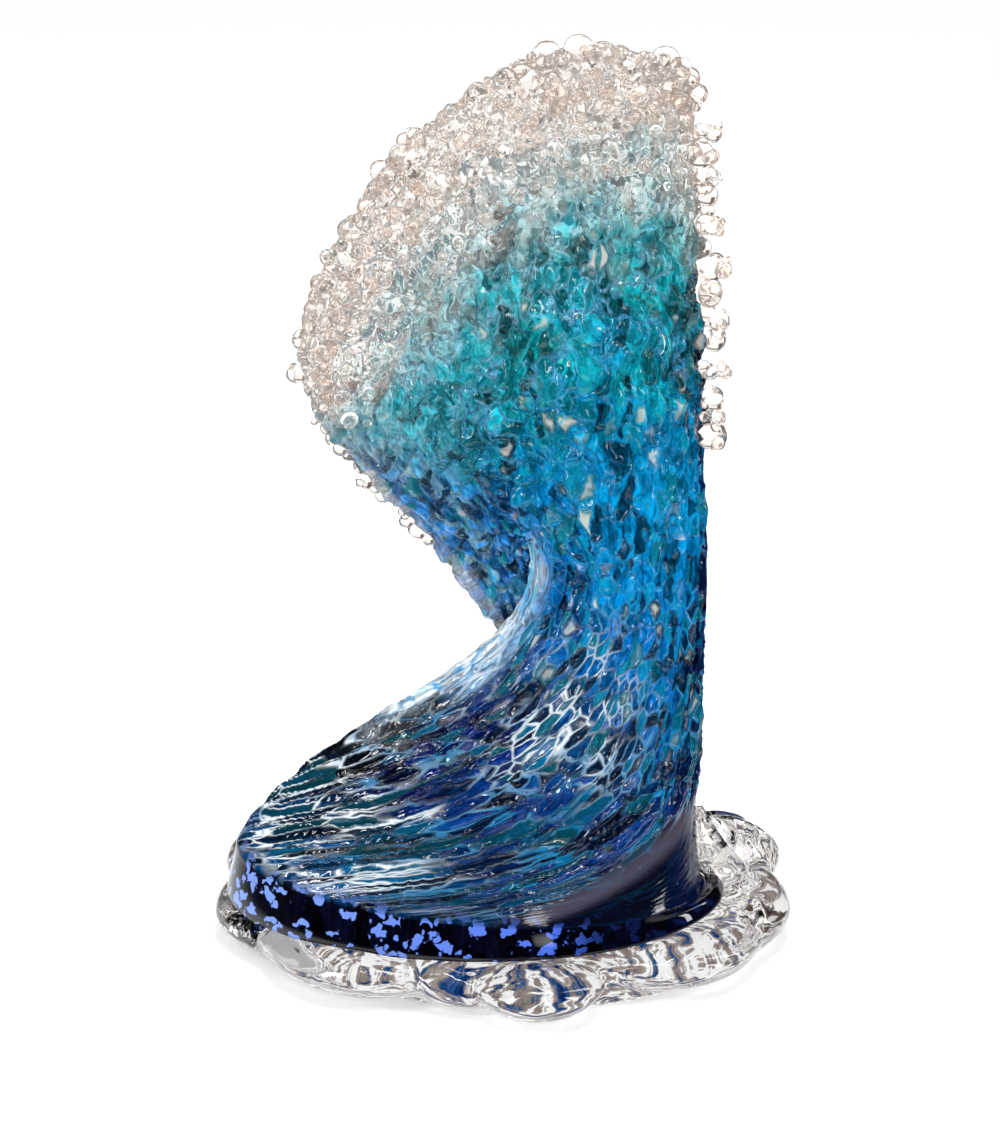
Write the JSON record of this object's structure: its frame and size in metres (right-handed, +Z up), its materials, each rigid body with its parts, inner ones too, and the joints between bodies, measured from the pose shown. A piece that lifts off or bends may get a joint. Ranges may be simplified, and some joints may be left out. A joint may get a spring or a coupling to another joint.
{
  "type": "glass wave sculpture",
  "caption": "Free-standing breaking wave in blue and clear hot-worked glass, with a beaded crest and a clear lobed foot to rest on.",
  "frame": {"origin": "on the flat underside of the foot, under the middle of the clear pool", "axes": "+Z up, out of the table; -Y towards the viewer who faces the wave; +X along the wave towards its straight right edge, away from the curling lip"},
  "size_m": [0.2116, 0.177, 0.3225],
  "materials": {
    "clear_foot_glass": "fire-polished clear, smooth rounded folds",
    "speckled_navy_glass": "glossy near-black navy with periwinkle blue chips",
    "charcoal_glass": "glossy charcoal teal with ridges that follow the flow",
    "cobalt_glass": "glossy deep cobalt, rippled along the flow",
    "navy_glass": "glossy near-black navy with fine seed bubbles",
    "white_trail_glass": "glossy white and pale blue trails",
    "steel_blue_glass": "smooth pale steel blue, drawn out in fine streaks",
    "royal_blue_glass": "glossy royal blue, rippled",
    "pale_blue_glass": "glossy pale blue with a net of fine cells",
    "azure_glass": "glossy azure, hollowed like hammered glass",
    "aqua_glass": "glossy turquoise, hollowed like hammered glass",
    "froth_glass": "clear bubbly froth of fused drops",
    "bead_glass": "clear fire-polished drops"
  },
  "bodies": {
    "root": {"foot_pool": "clear_foot_glass", "left_lobe": "clear_foot_glass", "front_left_lobe": "clear_foot_glass", "front_small_lobe": "clear_foot_glass", "front_lobe": "clear_foot_glass", "front_right_lobe": "clear_foot_glass", "right_lobe": "clear_foot_glass", "folded_lobe": "clear_foot_glass", "back_right_lobe": "clear_foot_glass", "back_left_lobe": "clear_foot_glass", "left_back_lobe": "clear_foot_glass", "side_fin": "clear_foot_glass", "speckled_band": "speckled_navy_glass", "charcoal_skirt": "charcoal_glass", "cobalt_skirt": "cobalt_glass", "navy_toe": "navy_glass", "foam_trails": "white_trail_glass", "curl_ridge": "steel_blue_glass", "cobalt_wall": "cobalt_glass", "royal_wall": "royal_blue_glass", "edge_spine": "navy_glass", "lip_underside": "pale_blue_glass", "azure_fan": "azure_glass", "aqua_fan": "aqua_glass", "lip_froth": "froth_glass", "crown_froth": "froth_glass", "edge_froth": "froth_glass", "crest_beads": "bead_glass", "front_froth_beads": "bead_glass", "back_froth_beads": "bead_glass", "lip_beads": "bead_glass", "edge_beads_upper": "bead_glass", "edge_beads_lower": "bead_glass"}
  },
  "joints": []
}
